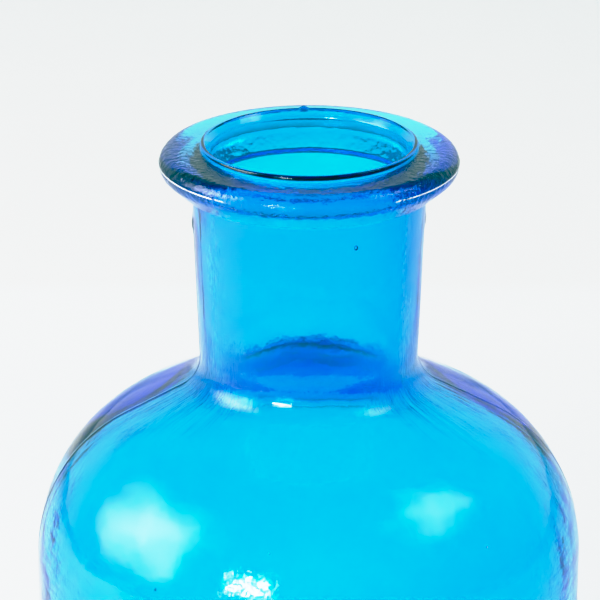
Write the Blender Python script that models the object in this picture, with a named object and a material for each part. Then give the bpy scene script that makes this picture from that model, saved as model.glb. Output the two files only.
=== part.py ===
"""A wide-shouldered glass storage bottle, standing on +Z with its origin under the centre of its base.

The bottle is two pieces of glass. The vessel is blown from one gather in a two-part mould. The collar is a second
gather, laid round the top of the neck as a thick ring. All sizes are in metres.
"""

import math

import bmesh
import bpy
from mathutils import Vector

MM = 0.001

# The vessel's outside.
HEIGHT = 240.0 * MM
LIP_RADIUS = 26.8 * MM
NECK_TOP_RADIUS = 29.1 * MM  # under the collar's foot
NECK_BASE_RADIUS = 27.15 * MM
NECK_LENGTH = 61.2 * MM  # from the lip to the corner between neck and shoulder
SHOULDER_SLOPE = math.radians(27.2)
SHOULDER_TURN_RADIUS = 57.0 * MM  # the corner where the straight shoulder turns down
BODY_RADIUS = 69.1 * MM
BODY_TOP = 97.8 * MM  # from the lip to the corner between shoulder and body
FOOT_TAPER = 1.1 * MM  # the body is narrower by this much at its foot

# The rounding of those corners.
LIP_ROUND = 0.6 * MM
NECK_FILLET = 8.5 * MM
SHOULDER_ROUND = 41.0 * MM
BODY_ROUND = 44.5 * MM
HEEL_ROUND = 9.0 * MM

# The foot: a flat standing ring round a shallow push-up.
STANDING_RING_OUTER = 58.0 * MM
STANDING_RING_INNER = 54.0 * MM
PUSH_UP = 7.0 * MM
PUSH_UP_FLAT = 24.0 * MM
PUSH_UP_ROUND = 36.0 * MM
FOOT_LIFT = 0.4 * MM  # the heel's curve leaves the standing ring a little above its plane

# The thickness of the glass.
WALL = 3.2 * MM
NECK_WALL = 4.2 * MM
LIP_WALL = 1.35 * MM
BASE_THICKNESS = 6.0 * MM

# The collar, measured out from the axis and down from the lip.
COLLAR_RADIUS = 37.6 * MM
COLLAR_TOP = 1.5 * MM  # where its flat top meets the lip
COLLAR_TOP_EDGE = 2.0 * MM
COLLAR_TOP_EDGE_RADIUS = 37.0 * MM
COLLAR_WIDEST = 6.8 * MM
COLLAR_LOW_EDGE = 11.7 * MM
COLLAR_LOW_EDGE_RADIUS = 31.8 * MM
COLLAR_FOOT = 12.4 * MM  # where it meets the neck
COLLAR_TOP_ROUND = 3.6 * MM
COLLAR_SIDE_ROUND = 3.9 * MM
COLLAR_LOW_ROUND = 2.0 * MM
GAP = 0.3 * MM  # clearance between the two pieces, which are fused on the real bottle

# Mould marks.
SEAM_HEIGHT = 0.25 * MM
SEAM_HALF_WIDTH = math.radians(0.8)
SEAM_END = 1.0 * MM  # a seam dies out in this length just under the collar
SEAM_BEARINGS = [math.radians(3.5), math.radians(183.5)]
LIP_PEAK_HEIGHT = 0.6 * MM  # a nip of glass left standing on the lip
LIP_PEAK_HALF_WIDTH = math.radians(2.4)
LIP_PEAK_BEARING = math.radians(93.0)

SEGMENTS = 60

GLASS_COLOUR = (0.0, 0.36, 0.82, 1.0)
COLLAR_COLOUR = (0.0, 0.14, 0.62, 1.0)


def rounded(corners):
    """The path through (radius, height, rounding, steps) corners, with an arc of that many steps at each."""
    spots = [Vector((radius, height)) for radius, height, _, _ in corners]
    path = []
    for index, (_, _, rounding, steps) in enumerate(corners):
        spot = spots[index]
        if rounding == 0:
            path.append(spot)
            continue
        back = (spots[index - 1] - spot).normalized()
        ahead = (spots[(index + 1) % len(spots)] - spot).normalized()
        half_angle = back.angle(ahead) / 2
        centre = spot + (back + ahead).normalized() * rounding / math.sin(half_angle)
        reach = rounding / math.tan(half_angle)
        start = spot + back * reach - centre
        end = spot + ahead * reach - centre
        first = math.atan2(start.y, start.x)
        turn = math.remainder(math.atan2(end.y, end.x) - first, math.tau)
        for step in range(steps + 1):
            angle = first + turn * step / steps
            path.append(centre + rounding * Vector((math.cos(angle), math.sin(angle))))
    return path


def inset(before, corner, after, wall):
    """A corner moved in by wall from both of the sides that meet at it, with its rounding reduced to match.

    The sides run from before to corner and on to after, with the glass on their left.
    """
    here = Vector(corner[:2])
    arriving = (here - Vector(before[:2])).normalized()
    leaving = (Vector(after[:2]) - here).normalized()
    inward = arriving.orthogonal() + leaving.orthogonal()
    moved = here + inward * wall / (1 + arriving.dot(leaving))
    return (moved.x, moved.y, corner[2] - wall, corner[3])


def shoulder_height(radius):
    """The height of the straight shoulder cone at a radius."""
    return HEIGHT - NECK_LENGTH - (radius - NECK_BASE_RADIUS) * math.tan(SHOULDER_SLOPE)


def neck_radius(depth):
    """The neck's outer radius at a depth below the lip, as the straight line down its side."""
    if depth < COLLAR_FOOT:
        return LIP_RADIUS + (NECK_TOP_RADIUS - LIP_RADIUS) * depth / COLLAR_FOOT
    share = (depth - COLLAR_FOOT) / (NECK_LENGTH - COLLAR_FOOT)
    return NECK_TOP_RADIUS + (NECK_BASE_RADIUS - NECK_TOP_RADIUS) * share


def vessel_outline(seam=0.0, peak=0.0):
    """The vessel's section from the top of the push-up, up its outside, over the lip and down to its floor.

    seam moves the moulded outside out from the axis, and peak raises the lip.
    """
    foot = (STANDING_RING_OUTER, 0, 0, 0)
    heel = (BODY_RADIUS - FOOT_TAPER + seam, FOOT_LIFT, HEEL_ROUND, 5)
    body = (BODY_RADIUS + seam, HEIGHT - BODY_TOP, BODY_ROUND, 5)
    shoulder = (SHOULDER_TURN_RADIUS + seam, shoulder_height(SHOULDER_TURN_RADIUS), SHOULDER_ROUND, 5)
    neck_base = (NECK_BASE_RADIUS + seam, shoulder_height(NECK_BASE_RADIUS), NECK_FILLET, 5)
    outside = [
        (0, PUSH_UP, 0, 0),
        (PUSH_UP_FLAT, PUSH_UP, PUSH_UP_ROUND, 3),
        (STANDING_RING_INNER, 0, 3 * MM, 2),
        foot,
        heel,
        body,
        shoulder,
        neck_base,
        (NECK_TOP_RADIUS + seam, HEIGHT - COLLAR_FOOT - SEAM_END, 0, 0),
        (NECK_TOP_RADIUS, HEIGHT - COLLAR_FOOT, 0, 0),
        (LIP_RADIUS, HEIGHT + peak, LIP_ROUND, 2),
    ]
    bore = NECK_BASE_RADIUS - NECK_WALL
    bore_end = shoulder_height(bore) - WALL / math.cos(SHOULDER_SLOPE)
    floor = PUSH_UP + BASE_THICKNESS
    inside = [
        (LIP_RADIUS - LIP_WALL, HEIGHT + peak, LIP_ROUND, 2),
        (NECK_TOP_RADIUS - NECK_WALL, HEIGHT - COLLAR_FOOT, 0, 0),
        (bore, bore_end, NECK_FILLET + WALL, 4),
        inset(body, shoulder, neck_base, WALL),
        inset(heel, body, shoulder, WALL),
        (BODY_RADIUS - FOOT_TAPER - WALL, BASE_THICKNESS, HEEL_ROUND - WALL, 4),
        (STANDING_RING_INNER, BASE_THICKNESS, 12 * MM, 2),
        (PUSH_UP_FLAT, floor, PUSH_UP_ROUND - BASE_THICKNESS, 3),
        (0, floor, 0, 0),
    ]
    return rounded(outside + inside)


def collar_outline():
    """The collar's section, a closed loop from its foot round its outside and back along the neck."""
    return rounded(
        [
            (neck_radius(COLLAR_FOOT) + GAP, HEIGHT - COLLAR_FOOT, 0, 0),
            (COLLAR_LOW_EDGE_RADIUS, HEIGHT - COLLAR_LOW_EDGE, COLLAR_LOW_ROUND, 2),
            (COLLAR_RADIUS, HEIGHT - COLLAR_WIDEST, COLLAR_SIDE_ROUND, 3),
            (COLLAR_TOP_EDGE_RADIUS, HEIGHT - COLLAR_TOP_EDGE, COLLAR_TOP_ROUND, 5),
            (neck_radius(COLLAR_TOP) + GAP, HEIGHT - COLLAR_TOP, 0, 0),
        ]
    )


def turned(name, outline_at, bearings, closed):
    """An object made by carrying an outline round the axis through each bearing."""
    mesh = bmesh.new()
    rings = []
    for bearing in bearings:
        across = Vector((math.cos(bearing), math.sin(bearing), 0))
        points = [across * spot.x + Vector((0, 0, spot.y)) for spot in outline_at(bearing)]
        rings.append([mesh.verts.new(point) for point in points])
    spans = len(rings[0]) if closed else len(rings[0]) - 1
    for here, there in zip(rings, rings[1:] + rings[:1]):
        for index in range(spans):
            following = (index + 1) % len(here)
            mesh.faces.new((here[index], there[index], there[following], here[following]))
    bmesh.ops.remove_doubles(mesh, verts=mesh.verts, dist=0.001 * MM)
    bmesh.ops.recalc_face_normals(mesh, faces=mesh.faces)
    data = bpy.data.meshes.new(name)
    mesh.to_mesh(data)
    mesh.free()
    data.shade_smooth()
    data.set_sharp_from_angle(angle=math.radians(40))
    piece = bpy.data.objects.new(name, data)
    bpy.context.scene.collection.objects.link(piece)
    return piece


def glass(name, colour):
    """Clear coloured glass."""
    material = bpy.data.materials.new(name)
    material.use_nodes = True
    shader = material.node_tree.nodes["Principled BSDF"]
    shader.inputs["Base Color"].default_value = colour
    shader.inputs["Roughness"].default_value = 0.04
    shader.inputs["Metallic"].default_value = 0.0
    shader.inputs["IOR"].default_value = 1.5
    shader.inputs["Transmission Weight"].default_value = 1.0
    return material


def mark_bearings():
    """Extra bearings for each narrow mould mark, so that its ridge stands on a base of its own width."""
    marks = []
    for middle, half_width in [
        *((seam, SEAM_HALF_WIDTH) for seam in SEAM_BEARINGS),
        (LIP_PEAK_BEARING, LIP_PEAK_HALF_WIDTH),
    ]:
        marks += [middle - half_width, middle, middle + half_width]
    return marks


def vessel_bearings():
    """Even bearings round the vessel, without those that would crowd a mould mark."""
    step = math.tau / SEGMENTS
    marks = mark_bearings()
    even = [step * turn for turn in range(SEGMENTS)]
    clear = [bearing for bearing in even if all(abs(bearing - mark) > step / 4 for mark in marks)]
    return sorted(clear + marks)


def make_vessel():
    def outline_at(bearing):
        seam = SEAM_HEIGHT if bearing in SEAM_BEARINGS else 0.0
        peak = LIP_PEAK_HEIGHT if bearing == LIP_PEAK_BEARING else 0.0
        return vessel_outline(seam, peak)

    vessel = turned("vessel", outline_at, vessel_bearings(), closed=False)
    vessel.data.materials.append(glass("vessel_glass", GLASS_COLOUR))
    return vessel


def make_collar():
    bearings = [math.tau * turn / SEGMENTS for turn in range(SEGMENTS)]
    collar = turned("collar", lambda bearing: collar_outline(), bearings, closed=True)
    collar.data.materials.append(glass("collar_glass", COLLAR_COLOUR))
    return collar


def main():
    for old in list(bpy.data.objects):
        bpy.data.objects.remove(old, do_unlink=True)
    make_vessel()
    make_collar()


main()
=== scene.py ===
"""The looks of a cyan-blue glass bottle: a blown vessel and the thick collar laid round its neck's top."""

import math
import bmesh
import bpy
import numpy as np
from mathutils import Matrix, Vector, noise


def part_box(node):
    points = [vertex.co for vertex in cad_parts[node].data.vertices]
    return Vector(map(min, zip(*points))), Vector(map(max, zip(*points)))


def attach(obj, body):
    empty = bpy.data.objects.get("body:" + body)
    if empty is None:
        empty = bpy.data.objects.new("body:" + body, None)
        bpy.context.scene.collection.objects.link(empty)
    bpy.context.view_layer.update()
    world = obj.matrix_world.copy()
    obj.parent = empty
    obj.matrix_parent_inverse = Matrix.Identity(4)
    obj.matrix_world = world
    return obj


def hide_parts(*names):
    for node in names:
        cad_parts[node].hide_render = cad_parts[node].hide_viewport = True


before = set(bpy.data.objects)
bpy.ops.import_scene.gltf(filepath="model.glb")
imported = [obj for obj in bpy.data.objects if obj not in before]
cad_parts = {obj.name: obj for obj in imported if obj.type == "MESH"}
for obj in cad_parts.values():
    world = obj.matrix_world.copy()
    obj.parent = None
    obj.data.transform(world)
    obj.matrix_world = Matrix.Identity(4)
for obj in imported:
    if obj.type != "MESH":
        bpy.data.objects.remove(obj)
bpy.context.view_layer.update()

MM = 0.001

# The vessel's outside, as the CAD has it. Depths are measured down from the lip, which is at HEIGHT.
LIP_PEAK = 0.6 * MM  # a nick of glass that stands up at the back of the lip
LIP_PEAK_BEARING = math.radians(93.0)
LIP_PEAK_HALF_WIDTH = math.radians(3.2)
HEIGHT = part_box("vessel")[1].z - LIP_PEAK
LIP_RADIUS = 26.8 * MM
NECK_TOP_RADIUS = 29.1 * MM
NECK_BASE_RADIUS = 27.15 * MM
NECK_LENGTH = 61.2 * MM
SHOULDER_SLOPE = math.radians(27.2)
SHOULDER_TURN_RADIUS = 57.0 * MM
BODY_RADIUS = 69.1 * MM
BODY_TOP = 97.8 * MM
FOOT_TAPER = 1.1 * MM

LIP_ROUND = 0.6 * MM
NECK_FILLET = 8.5 * MM
SHOULDER_ROUND = 41.0 * MM
BODY_ROUND = 44.5 * MM
HEEL_ROUND = 9.0 * MM

STANDING_RING_OUTER = 58.0 * MM
STANDING_RING_INNER = 54.0 * MM
PUSH_UP = 7.0 * MM
PUSH_UP_FLAT = 24.0 * MM
PUSH_UP_ROUND = 36.0 * MM
FOOT_LIFT = 0.4 * MM
RING_ROUND = 3.0 * MM

# The thickness of the glass, and the mouth.
WALL = 3.2 * MM
NECK_WALL = 4.2 * MM
LIP_WALL = 0.9 * MM
MOUTH_RADIUS = 24.4 * MM
MOUTH_BEVEL = 1.9 * MM
NECK_BASE_WALL = 3.0 * MM
SHOULDER_WALL = 3.0 * MM
EXTRA_WALL = 6.4 * MM  # at the back of the shoulder, none at the front
EXTRA_SIDE_SHARE = 0.45  # of it, at each side of the shoulder
EXTRA_SIDES = [0.45, math.pi - 0.45]  # bearings
EXTRA_DEPTHS = [63.5 * MM, 77 * MM, 93 * MM]  # where the extra glass starts, is thickest and ends
BASE_THICKNESS = 6.0 * MM

# The collar.
COLLAR_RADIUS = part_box("collar")[1].x
COLLAR_TOP = 1.5 * MM
COLLAR_TOP_EDGE = 2.0 * MM
COLLAR_TOP_EDGE_RADIUS = 37.0 * MM
COLLAR_WIDEST = 6.8 * MM
COLLAR_LOW_EDGE = 11.7 * MM
COLLAR_LOW_EDGE_RADIUS = 31.8 * MM
COLLAR_FOOT = 12.4 * MM
WELD_GAP = 0.01 * MM

# The mould seams, which end in a drop of glass below the collar.
SEAM_HEIGHT = 0.12 * MM
SEAM_HALF_WIDTH = 0.9 * MM
SEAM_BEARINGS = [math.radians(3.5), math.radians(183.5)]
SEAM_TOP = 19.5 * MM
SEAM_END = 0.35 * MM
SEAM_END_HALF_WIDTH = 1.5 * MM
SEAM_END_HALF_LENGTH = 3.2 * MM

# Seed bubbles in the glass: bearing in degrees, depth, distance from the axis, radius.
SEEDS = [
    (-66, 18.7 * MM, 27.2 * MM, 0.5 * MM),
    (-48, 88.0 * MM, 64.6 * MM, 0.25 * MM),
    (-99, 84.0 * MM, 61.2 * MM, 0.2 * MM),
    (-124, 96.0 * MM, 66.6 * MM, 0.28 * MM),
]

GLASS_IOR = 1.5
DENSITY = 1300.0  # per metre, in the volume absorption
VESSEL_LETS_THROUGH = (0.0, 0.9292, 0.9923, 1.0)
COLLAR_LETS_THROUGH = (0.0, 0.9662, 0.9946, 1.0)

# The studio.
FLOOR_HALF = 6.0
TABLE_END = 537 * MM  # behind the bottle, where the pale wall begins
# Painted shade and light on the table: its colour is darker near the camera and lighter towards the wall.
TABLE_NEAR_PAINTED_SHADE = (0.83, 0.855, 0.885, 1)
TABLE_FAR_PAINTED_LIGHT = (0.88, 0.9, 0.92, 1)
WALL_TONE = (0.85, 0.85, 0.85, 1)
LIGHT_DISTANCE = 1.4
LIGHTS_AIM = (0, 0, HEIGHT - 80 * MM)
CAMERA_TARGET = (-2.28 * MM, 0, HEIGHT - 41.9 * MM)
CAMERA_DISTANCE = 1.05
CAMERA_ELEVATION = 20.83
CAMERA_LENS = 252

# The photograph's tone: scene light in, display level out. White is at TONE_WHITE, and red starts late.
TONE_WHITE = 4.0
TONE_BLACK = (0.08, 0.0, 0.0)
TONE_POINTS = [(0.5, 0.54), (0.65, 0.73), (0.8, 0.85), (1.0, 0.9), (1.5, 0.95)]
LIGHT_BOUNCES = 96  # the collar traps light for many turns before it lets it out


def rounded(corners, step):
    """The path through (radius, height, rounding) corners, with arcs at them and points step apart there."""
    spots = [Vector((radius, height)) for radius, height, _ in corners]
    path = []
    for index, (_, _, rounding) in enumerate(corners):
        spot = spots[index]
        if rounding == 0:
            path.append(spot)
            continue
        back = (spots[index - 1] - spot).normalized()
        ahead = (spots[(index + 1) % len(spots)] - spot).normalized()
        half_angle = back.angle(ahead) / 2
        centre = spot + (back + ahead).normalized() * rounding / math.sin(half_angle)
        reach = rounding / math.tan(half_angle)
        start = spot + back * reach - centre
        end = spot + ahead * reach - centre
        first = math.atan2(start.y, start.x)
        turn = math.remainder(math.atan2(end.y, end.x) - first, math.tau)
        count = max(4, math.ceil(abs(turn) * rounding / step))
        for number in range(count + 1):
            angle = first + turn * number / count
            path.append(centre + rounding * Vector((math.cos(angle), math.sin(angle))))
    return path


def spaced(path, spacing):
    """The same path, cut so that no two points are further apart than spacing(height)."""
    points = [path[0]]
    for here, there in zip(path, path[1:]):
        length = (there - here).length
        if length < 1e-7:
            continue
        count = max(1, math.ceil(length / spacing((here.y + there.y) / 2)))
        points += [here.lerp(there, number / count) for number in range(1, count + 1)]
    return points


def inset(before, corner, after, wall):
    """A corner moved in by wall from both of its sides, with its rounding reduced to match."""
    here = Vector(corner[:2])
    arriving = (here - Vector(before[:2])).normalized()
    leaving = (Vector(after[:2]) - here).normalized()
    inward = arriving.orthogonal() + leaving.orthogonal()
    moved = here + inward * wall / (1 + arriving.dot(leaving))
    return (moved.x, moved.y, corner[2] - wall)


def shoulder_height(radius):
    """The height at which the shoulder's straight slope passes a radius."""
    return HEIGHT - NECK_LENGTH - (radius - NECK_BASE_RADIUS) * math.tan(SHOULDER_SLOPE)


def seat_radius(depth):
    """The outer radius of the neck where the collar sits on it, at a depth below the lip."""
    return LIP_RADIUS + (NECK_TOP_RADIUS - LIP_RADIUS) * depth / COLLAR_FOOT


def vessel_path():
    """The vessel's section, from the middle of the push-up round the outside and back down the inside."""
    foot = (STANDING_RING_OUTER, 0, 0)
    heel = (BODY_RADIUS - FOOT_TAPER, FOOT_LIFT, HEEL_ROUND)
    body = (BODY_RADIUS, HEIGHT - BODY_TOP, BODY_ROUND)
    shoulder = (SHOULDER_TURN_RADIUS, shoulder_height(SHOULDER_TURN_RADIUS), SHOULDER_ROUND)
    neck_base = (NECK_BASE_RADIUS, shoulder_height(NECK_BASE_RADIUS), NECK_FILLET)
    outside = [
        (0, PUSH_UP, 0),
        (PUSH_UP_FLAT, PUSH_UP, PUSH_UP_ROUND),
        (STANDING_RING_INNER, 0, RING_ROUND),
        foot,
        heel,
        body,
        shoulder,
        neck_base,
        (NECK_TOP_RADIUS, HEIGHT - COLLAR_FOOT, 0),
        (seat_radius(COLLAR_TOP), HEIGHT - COLLAR_TOP, 0),
        (LIP_RADIUS, HEIGHT, LIP_ROUND),
    ]
    bore = NECK_BASE_RADIUS - NECK_WALL
    bore_end = shoulder_height(bore) - NECK_BASE_WALL / math.cos(SHOULDER_SLOPE)
    floor = PUSH_UP + BASE_THICKNESS
    inside = [
        (LIP_RADIUS - LIP_WALL, HEIGHT, 0.4 * MM),
        (MOUTH_RADIUS, HEIGHT - MOUTH_BEVEL, 1.0 * MM),
        (NECK_TOP_RADIUS - NECK_WALL, HEIGHT - COLLAR_FOOT, 12 * MM),
        (bore, bore_end, NECK_FILLET + WALL),
        inset(body, shoulder, neck_base, SHOULDER_WALL),
        inset(heel, body, shoulder, WALL),
        (BODY_RADIUS - FOOT_TAPER - WALL, BASE_THICKNESS, HEEL_ROUND - WALL),
        (STANDING_RING_INNER, BASE_THICKNESS, 12 * MM),
        (PUSH_UP_FLAT, floor, PUSH_UP_ROUND - BASE_THICKNESS),
        (0, floor, 0),
    ]

    def spacing(height):
        return 1.3 * MM if height > HEIGHT - 75 * MM else 2.6 * MM

    return spaced(rounded(outside + inside, 0.9 * MM), spacing)


def collar_path():
    """The collar's section from its foot, round its outside to its top, and back down along the neck."""
    section = [
        (seat_radius(COLLAR_FOOT) + WELD_GAP, HEIGHT - COLLAR_FOOT, 0),
        (COLLAR_LOW_EDGE_RADIUS, HEIGHT - COLLAR_LOW_EDGE, 1.6 * MM),
        (COLLAR_RADIUS, HEIGHT - COLLAR_WIDEST, 3.9 * MM),
        (COLLAR_TOP_EDGE_RADIUS, HEIGHT - COLLAR_TOP_EDGE, 3.6 * MM),
        (seat_radius(COLLAR_TOP) + WELD_GAP, HEIGHT - COLLAR_TOP, 0),
    ]
    return spaced(rounded(section, 0.4 * MM), lambda height: 0.45 * MM)


def across(bearing):
    return Vector((math.cos(bearing), math.sin(bearing), 0))


def bearings_round(count, fine_zones):
    """Bearings round the axis: count even ones, and closer ones in each (middle, half width, step) zone."""
    bearings = [math.tau * number / count for number in range(count)]
    for middle, half_width, step in fine_zones:
        bearings = [b for b in bearings if abs(math.remainder(b - middle, math.tau)) > half_width]
        number = round(half_width / step)
        bearings += [(middle + step * k) % math.tau for k in range(-number, number + 1)]
    return sorted(bearings)


def carried_round(outward, upward, angle):
    """Vectors in rows along a path and columns round the axis, from their outward and upward parts."""
    parts = [
        np.outer(outward, np.cos(angle)),
        np.outer(outward, np.sin(angle)),
        np.outer(upward, np.ones(len(angle))),
    ]
    return np.stack(parts, 2)


def turned(name, path, bearings, closed, moved, welded):
    """A mesh made by carrying a path round the axis. moved(places, normals, bearings) gives its points'
    final places, and faces for which welded(radius, height) holds are marked as fused to the other piece."""
    radii = np.array([p.x for p in path])
    heights = np.array([p.y for p in path])
    profile = np.stack([radii, heights], 1)
    along = np.roll(profile, -1, 0) - np.roll(profile, 1, 0)
    if not closed:
        along[0], along[-1] = (1, 0), (-1, 0)
    along /= np.linalg.norm(along, axis=1, keepdims=True)
    rows, columns = len(path), len(bearings)
    angle = np.array(bearings)
    place = carried_round(radii, heights, angle)
    facing = carried_round(along[:, 1], -along[:, 0], angle)
    verts = moved(place, facing, angle).reshape(-1, 3)
    faces, fused = [], []
    for row in range(rows if closed else rows - 1):
        here, there = row * columns, (row + 1) % rows * columns
        middle = (profile[row] + profile[(row + 1) % rows]) / 2
        for column in range(columns):
            beside = (column + 1) % columns
            if not closed and row == 0:
                faces.append((0, there + column, there + beside))
            elif not closed and row == rows - 2:
                faces.append((here + column, here + beside, there))
            else:
                faces.append((here + column, here + beside, there + beside, there + column))
            fused.append(float(welded(*middle)))
    mesh = bpy.data.meshes.new(name)
    mesh.from_pydata(verts.tolist(), [], faces)
    mesh.attributes.new("fused", "FLOAT", "FACE").data.foreach_set("value", fused)
    piece = bpy.data.objects.new(name, mesh)
    bpy.context.scene.collection.objects.link(piece)
    work = bmesh.new()
    work.from_mesh(mesh)
    bmesh.ops.delete(work, geom=[v for v in work.verts if not v.link_faces], context="VERTS")
    bmesh.ops.recalc_face_normals(work, faces=work.faces)
    work.to_mesh(mesh)
    work.free()
    mesh.shade_smooth()
    mesh.set_sharp_from_angle(angle=math.radians(40))
    return piece


def add_bubble(piece, centre, size):
    """A closed hollow in the glass, a little taller than it's wide."""
    work = bmesh.new()
    work.from_mesh(piece.data)
    shape = Matrix.Translation(centre) @ Matrix.Diagonal((1, 1, 1.3, 1))
    made = bmesh.ops.create_icosphere(work, subdivisions=3, radius=size, matrix=shape)
    faces = list({face for vert in made["verts"] for face in vert.link_faces})
    bmesh.ops.reverse_faces(work, faces=faces)
    for face in faces:
        face.smooth = True
    work.to_mesh(piece.data)
    work.free()


def bump_wave(value, centre, half_width):
    """A smooth ridge one high at its centre and zero at half_width to each side."""
    reach = np.clip(1 - np.abs(value - centre) / half_width, 0, 1)
    return reach * reach * (3 - 2 * reach)


def turn_from(angle, middle):
    """How far each bearing is from the middle one, the short way round."""
    return (angle - middle + np.pi) % math.tau - np.pi


def near(angle, middle, half_width):
    """The same ridge round the axis: one high at the middle bearing."""
    return bump_wave(turn_from(angle, middle), 0, half_width)


def fade(value, low, high):
    """Zero up to low, one from high on, smooth between."""
    share = np.clip((value - low) / (high - low), 0, 1)
    return share * share * (3 - 2 * share)


def noise_at(points, scale, seed):
    """Smooth noise between -1 and 1 at each point, with lumps of about scale."""
    shift = Vector((seed * 17.3, seed * 5.1, seed * 9.7))
    flat = points.reshape(-1, 3)
    values = [noise.noise(Vector(p) / scale + shift) for p in flat.tolist()]
    return np.array(values).reshape(points.shape[:-1])


def seam_ridges(radius, depth, height, angle):
    """How far the two mould seams and the drops at their tops stand out."""
    offset = np.zeros(radius.shape)
    for seam in SEAM_BEARINGS:
        sideways = turn_from(angle, seam) * radius
        ridge = bump_wave(sideways, 0, SEAM_HALF_WIDTH)
        ridge *= fade(depth, SEAM_TOP, SEAM_TOP + 1.5 * MM) * fade(height, 3 * MM, 8 * MM)
        end = bump_wave(sideways, 0, SEAM_END_HALF_WIDTH)
        end *= bump_wave(depth, SEAM_TOP + 1 * MM, SEAM_END_HALF_LENGTH)
        offset += ridge * SEAM_HEIGHT + end * SEAM_END
    return offset


def extra_wall(depth, angle):
    """The uneven glass on the inside of the shoulder: thick at the back, thinner at the sides."""
    share = near(angle, math.pi / 2, 1.1)
    for side in EXTRA_SIDES:
        share = np.maximum(share, EXTRA_SIDE_SHARE * near(angle, side, 0.5))
    start, thickest, end = EXTRA_DEPTHS
    return EXTRA_WALL * share * (fade(depth, start, thickest) * (1 - fade(depth, thickest, end)))


def vessel_moved(place, facing, angle):
    """The vessel's points with its seams, its uneven inside and the peak on its lip."""
    height = place[..., 2]
    radius = np.hypot(place[..., 0], place[..., 1])
    depth = HEIGHT - height
    outside = facing[..., 0] * np.cos(angle) + facing[..., 1] * np.sin(angle) > -0.02
    outside &= depth > COLLAR_FOOT
    outside &= ~((facing[..., 2] > 0.5) & (height < 30 * MM))
    inside = ~outside & (depth > COLLAR_FOOT) & (height > 10 * MM)
    wander = noise_at(place, 22 * MM, 1) * 0.18 * MM + noise_at(place, 7 * MM, 2) * 0.04 * MM
    offset = np.where(outside, seam_ridges(radius, depth, height, angle), 0)
    offset += np.where(inside, wander + extra_wall(depth, angle), 0)
    place = place + facing * offset[..., None]
    peak = near(angle, LIP_PEAK_BEARING, LIP_PEAK_HALF_WIDTH) * fade(-depth, -1.2 * MM, -0.2 * MM)
    place[..., 2] += peak * LIP_PEAK
    return place


def collar_moved(place, facing, angle):
    """The collar's points with its orange peel, set in a little so that it stays close to the section."""
    depth = HEIGHT - place[..., 2]
    radius = np.hypot(place[..., 0], place[..., 1])
    free = fade(radius - seat_radius(depth), 0.05 * MM, 1.2 * MM)
    peel = noise_at(place, 1.5 * MM, 3) * 0.045 * MM + noise_at(place, 0.8 * MM, 4) * 0.02 * MM
    return place + facing * (free * (peel - 0.05 * MM))[..., None]


def add_node(tree, kind, inputs, **settings):
    """A node with its settings and its inputs filled in. An input is a value or another node's output."""
    node = tree.nodes.new(kind)
    for key, value in settings.items():
        setattr(node, key, value)
    for key, value in inputs.items():
        if isinstance(value, bpy.types.NodeSocket):
            tree.links.new(value, node.inputs[key])
        else:
            node.inputs[key].default_value = value
    return node


def math_node(tree, operation, *values):
    inputs = dict(enumerate(values))
    return add_node(tree, "ShaderNodeMath", inputs, operation=operation).outputs[0]


def ripple(tree, place, stretch, lump, height, detail=2.0):
    """Noise up to height high, with lumps of about the size lump. stretch makes them longer along an axis."""
    sizes = [1 / (lump * s) for s in stretch]
    scaled = add_node(tree, "ShaderNodeVectorMath", {0: place, 1: sizes}, operation="MULTIPLY").outputs[0]
    settings = {"Vector": scaled, "Scale": 1.0, "Detail": detail}
    waves = add_node(tree, "ShaderNodeTexNoise", settings).outputs[0]
    return times(tree, waves, height)


def between(tree, value, low, high, start, end):
    """A smooth step from start to end as value goes from low to high."""
    node = add_node(
        tree,
        "ShaderNodeMapRange",
        {"Value": value, "From Min": low, "From Max": high, "To Min": start, "To Max": end},
        interpolation_type="SMOOTHSTEP",
    )
    return node.outputs[0]


def times(tree, one, other):
    return math_node(tree, "MULTIPLY", one, other)


def total(tree, values):
    whole = values[0]
    for value in values[1:]:
        whole = math_node(tree, "ADD", whole, value)
    return whole


def object_place(tree):
    """The point being shaded, in the object's own coordinates, whole and split."""
    place = add_node(tree, "ShaderNodeTexCoord", {}).outputs["Object"]
    return place, add_node(tree, "ShaderNodeSeparateXYZ", {0: place}).outputs


def vessel_relief(tree):
    """The skin of the blown glass: slow waves and fine ones all over, upright drag lines where the neck was
    drawn out of the shoulder, and chill marks low on the body."""
    place, split = object_place(tree)
    bearing = math_node(tree, "ARCTAN2", split["Y"], split["X"])
    round_neck = times(tree, bearing, NECK_BASE_RADIUS)
    unrolled = add_node(tree, "ShaderNodeCombineXYZ", {"X": round_neck, "Y": split["Z"], "Z": 0.0})
    waves = ripple(tree, place, (1, 1, 1.4), 14 * MM, 0.45 * MM, 1.0)
    drag = ripple(tree, unrolled.outputs[0], (1, 26, 1), 0.8 * MM, 0.1 * MM, 3.0)
    drag = times(tree, drag, between(tree, split["Z"], HEIGHT - 76 * MM, HEIGHT - 65 * MM, 0.0, 1.0))
    drag = times(tree, drag, between(tree, split["Z"], HEIGHT - 58 * MM, HEIGHT - 44 * MM, 1.0, 0.12))
    sideways = math_node(tree, "ABSOLUTE", split["X"])
    drag = times(tree, drag, between(tree, sideways, 6 * MM, 22 * MM, 0.2, 1.0))
    chill = ripple(tree, place, (2.4, 2.4, 1), 3.2 * MM, 0.13 * MM)
    chill = times(tree, chill, between(tree, split["Z"], HEIGHT - 96 * MM, HEIGHT - 82 * MM, 1.0, 0.06))
    fine = ripple(tree, place, (1, 1, 1.5), 1.6 * MM, 0.03 * MM)
    return total(tree, [waves, drag, chill, fine])


def collar_relief(tree):
    """The collar's orange peel, which is worn smooth towards the back."""
    place, split = object_place(tree)
    coarse = ripple(tree, place, (1, 1, 1), 1.3 * MM, 0.25 * MM)
    fine = ripple(tree, place, (1, 1, 1), 0.5 * MM, 0.04 * MM)
    worn = between(tree, split["Y"], -8 * MM, 22 * MM, 1.0, 0.15)
    return times(tree, total(tree, [coarse, fine]), worn)


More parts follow.
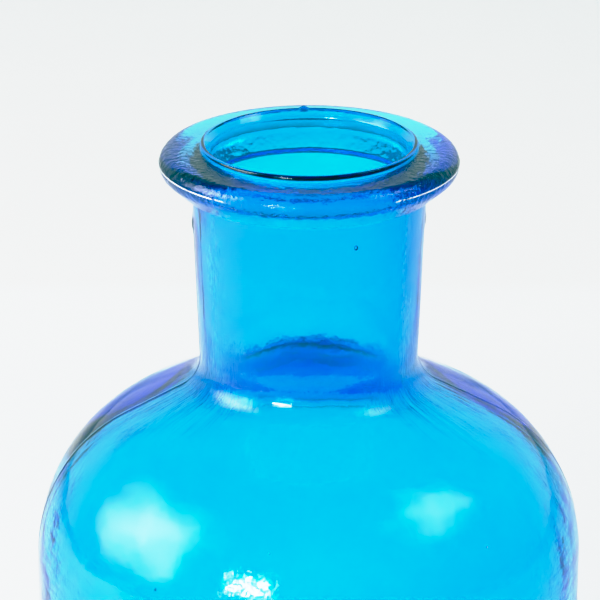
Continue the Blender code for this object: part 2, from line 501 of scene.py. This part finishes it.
def glass(name, lets_through, relief):
    """Coloured glass: what light loses on its way through depends on how thick the glass is, and faces
    fused to the other piece bend nothing."""
    material = bpy.data.materials.new(name)
    material.use_nodes = True
    tree = material.node_tree
    shader = tree.nodes["Principled BSDF"]
    shader.inputs["Base Color"].default_value = (1, 1, 1, 1)
    shader.inputs["Roughness"].default_value = 0.0
    shader.inputs["Transmission Weight"].default_value = 1.0
    fused = add_node(tree, "ShaderNodeAttribute", {}, attribute_name="fused").outputs["Fac"]
    tree.links.new(between(tree, fused, 0.0, 1.0, GLASS_IOR, 1.0), shader.inputs["IOR"])
    free = between(tree, fused, 0.0, 1.0, 1.0, 0.0)
    bump = add_node(tree, "ShaderNodeBump", {"Height": relief(tree), "Strength": free, "Distance": 1.0})
    tree.links.new(bump.outputs["Normal"], shader.inputs["Normal"])
    inputs = {"Color": lets_through, "Density": DENSITY}
    volume = add_node(tree, "ShaderNodeVolumeAbsorption", inputs)
    tree.links.new(volume.outputs["Volume"], tree.nodes["Material Output"].inputs["Volume"])
    return material


def make_vessel():
    fine = [(seam, math.radians(3.2), math.radians(0.3)) for seam in SEAM_BEARINGS]
    fine.append((LIP_PEAK_BEARING, math.radians(4), math.radians(0.5)))

    def welded(radius, height):
        return radius > LIP_RADIUS - 0.3 * MM and COLLAR_TOP < HEIGHT - height < COLLAR_FOOT

    vessel = turned("vessel_glass", vessel_path(), bearings_round(300, fine), False, vessel_moved, welded)
    for bearing, depth, radius, size in SEEDS:
        add_bubble(vessel, across(math.radians(bearing)) * radius + Vector((0, 0, HEIGHT - depth)), size)
    vessel.data.materials.append(glass("vessel_glass", VESSEL_LETS_THROUGH, vessel_relief))
    return vessel


def make_collar():
    def welded(radius, height):
        return radius < seat_radius(HEIGHT - height) + 0.1 * MM

    collar = turned("collar_glass", collar_path(), bearings_round(420, []), True, collar_moved, welded)
    collar.data.materials.append(glass("collar_glass", COLLAR_LETS_THROUGH, collar_relief))
    return collar


def mix_colours(tree, share, one, other):
    inputs = {0: share, 6: one, 7: other}
    return add_node(tree, "ShaderNodeMix", inputs, data_type="RGBA").outputs[2]


def make_floor():
    """The pale table, painted darker towards the camera and lighter towards the wall as painted shade and
    light, which turns into the pale wall's tone beyond the table's end.
    """
    corners = [(FLOOR_HALF * x, FLOOR_HALF * y) for x, y in ((-1, -1), (1, -1), (1, 1), (-1, 1))]
    mesh = bpy.data.meshes.new("floor")
    mesh.from_pydata([(x, y, 0) for x, y in corners], [], [(0, 1, 2, 3)])
    floor = bpy.data.objects.new("floor", mesh)
    bpy.context.scene.collection.objects.link(floor)
    material = bpy.data.materials.new("floor")
    material.use_nodes = True
    tree = material.node_tree
    place, split = object_place(tree)
    beyond = between(tree, split["Y"], TABLE_END - 12 * MM, TABLE_END + 8 * MM, 0.0, 1.0)
    # painted shade and light: the table's colour goes from a shaded tone near the camera to a lit tone
    # towards the wall
    towards = between(tree, split["Y"], TABLE_END - 170 * MM, TABLE_END - 10 * MM, 0.0, 1.0)
    table = mix_colours(tree, towards, TABLE_NEAR_PAINTED_SHADE, TABLE_FAR_PAINTED_LIGHT)
    whole = mix_colours(tree, beyond, table, WALL_TONE)
    coarse = ripple(tree, place, (2, 1, 1), 60 * MM, 0.03)
    fine = ripple(tree, place, (1, 1, 1), 5 * MM, 0.02)
    mottle = total(tree, [coarse, fine, 0.975])
    inputs = {0: whole, "Scale": mottle}
    shade = add_node(tree, "ShaderNodeVectorMath", inputs, operation="SCALE")
    shader = tree.nodes["Principled BSDF"]
    tree.links.new(shade.outputs[0], shader.inputs["Base Color"])
    shader.inputs["Roughness"].default_value = 0.9
    shader.inputs["Specular IOR Level"].default_value = 0.0
    mesh.materials.append(material)


def aim(thing, spot, target):
    thing.location = spot
    thing.rotation_euler = (Vector(target) - Vector(spot)).to_track_quat("-Z", "Y").to_euler()


def from_bearing(azimuth, elevation, distance, centre):
    """The point at that distance from centre, azimuth degrees right of straight behind and elevation up."""
    a, e = math.radians(azimuth), math.radians(elevation)
    way = Vector((math.sin(a) * math.cos(e), math.cos(a) * math.cos(e), math.sin(e)))
    return Vector(centre) + distance * way


def lamp_pattern(tree, lobes, ragged, patchiness):
    """How bright a lamp is across its face: brightest in the middle, faded to its edges in four lobes, and
    broken by clouds as ragged and as small as asked."""
    across_lamp = add_node(tree, "ShaderNodeNewGeometry", {}).outputs["Parametric"]
    inputs = {0: across_lamp, 1: (0.5, 0.5, 0.0)}
    middle = add_node(tree, "ShaderNodeVectorMath", inputs, operation="SUBTRACT").outputs[0]
    away = add_node(tree, "ShaderNodeVectorMath", {0: middle}, operation="LENGTH").outputs["Value"]
    split = add_node(tree, "ShaderNodeSeparateXYZ", {0: middle}).outputs
    turn = math_node(tree, "ARCTAN2", split["Y"], split["X"])
    four = math_node(tree, "COSINE", times(tree, turn, 4.0))
    reach = math_node(tree, "MULTIPLY_ADD", four, lobes, 1.0 + lobes)
    inputs = {"Vector": across_lamp, "Scale": patchiness, "Detail": 3.0}
    clouds = add_node(tree, "ShaderNodeTexNoise", inputs).outputs[0]
    edge = total(tree, [times(tree, away, reach), times(tree, clouds, ragged)])
    glow = between(tree, edge, 0.5 + ragged / 2, ragged / 2, 0.0, 1.0)
    return math_node(tree, "POWER", glow, 1.8)


def make_light(name, azimuth, elevation, size, radiance, lobes, ragged, patchiness, distance=LIGHT_DISTANCE):
    """A window or lamp of that (width, height) that faces the bottle's shoulder."""
    width, height = size
    lamp = bpy.data.lights.new(name, "AREA")
    lamp.shape = "RECTANGLE"
    lamp.size = width
    lamp.size_y = height
    lamp.energy = radiance * math.pi * width * height
    lamp.use_nodes = True
    tree = lamp.node_tree
    pattern = lamp_pattern(tree, lobes, ragged, patchiness)
    tree.links.new(pattern, tree.nodes["Emission"].inputs["Strength"])
    thing = bpy.data.objects.new(name, lamp)
    bpy.context.scene.collection.objects.link(thing)
    aim(thing, from_bearing(azimuth, elevation, distance, LIGHTS_AIM), LIGHTS_AIM)
    return thing


def make_fill(radiance):
    """A wide soft overhead panel that lights the table without showing in the glass."""
    panel = make_light("overhead", 0, 90, (9.0, 9.0), radiance, 0.0, 0.0, 1.0, distance=3.0)
    panel.visible_glossy = False
    panel.visible_transmission = False


def make_world(bright, dim, ceiling):
    """A bright wall behind the bottle that falls off to a dim room in front of it and a dimmer ceiling."""
    world = bpy.data.worlds.new("studio")
    world.use_nodes = True
    tree = world.node_tree
    way = add_node(tree, "ShaderNodeTexCoord", {}).outputs["Generated"]
    split = add_node(tree, "ShaderNodeSeparateXYZ", {0: way}).outputs
    back = between(tree, split["Y"], -0.1, 0.7, dim, bright)
    above = between(tree, split["Z"], 0.35, 0.95, 1.0, ceiling)
    background = tree.nodes["Background"]
    background.inputs["Color"].default_value = (1.0, 1.0, 1.0, 1.0)
    tree.links.new(times(tree, back, above), background.inputs["Strength"])
    bpy.context.scene.world = world


def make_camera():
    data = bpy.data.cameras.new("camera")
    data.lens = CAMERA_LENS
    data.sensor_width = 36
    data.clip_start = 0.01
    camera = bpy.data.objects.new("camera", data)
    bpy.context.scene.collection.objects.link(camera)
    aim(camera, from_bearing(180, CAMERA_ELEVATION, CAMERA_DISTANCE, CAMERA_TARGET), CAMERA_TARGET)
    bpy.context.scene.camera = camera


def set_tone(view):
    """The display curve, the same for every colour but for red's later start."""
    view.view_transform = "Standard"
    view.use_curve_mapping = True
    tone = view.curve_mapping
    tone.white_level = (TONE_WHITE, TONE_WHITE, TONE_WHITE)
    tone.black_level = TONE_BLACK
    tone.clip_max_x, tone.clip_max_y = 1.0, 1.0
    curve = tone.curves[3]
    curve.points[0].location = (0.0, 0.0)
    curve.points[1].location = (1.0, 1.0)
    for light_in, light_out in TONE_POINTS:
        curve.points.new(light_in / TONE_WHITE, light_out)
    tone.update()


def set_bounces(cycles):
    cycles.max_bounces = LIGHT_BOUNCES
    cycles.transmission_bounces = LIGHT_BOUNCES
    cycles.glossy_bounces = LIGHT_BOUNCES
    cycles.caustics_reflective = True
    cycles.caustics_refractive = True


make_floor()
make_world(bright=1.0, dim=0.35, ceiling=0.35)
make_fill(radiance=1.25)
make_light("left_window", -97, 27, (2.3, 2.0), radiance=12, lobes=0.12, ragged=0.35, patchiness=4.0)
make_light("right_window", 98, 47, (1.5, 1.3), radiance=5.0, lobes=0.1, ragged=0.4, patchiness=4.0)
make_light("small_lamp", -154, 20, (0.6, 0.5), radiance=60, lobes=0.1, ragged=1.5, patchiness=9.0)
make_camera()
set_tone(bpy.context.scene.view_settings)
set_bounces(bpy.context.scene.cycles)

vessel = make_vessel()
collar = make_collar()
for piece, node, slot in ((vessel, "vessel", "vessel_glass"), (collar, "collar", "collar_glass")):
    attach(piece, "root")
    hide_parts(node)
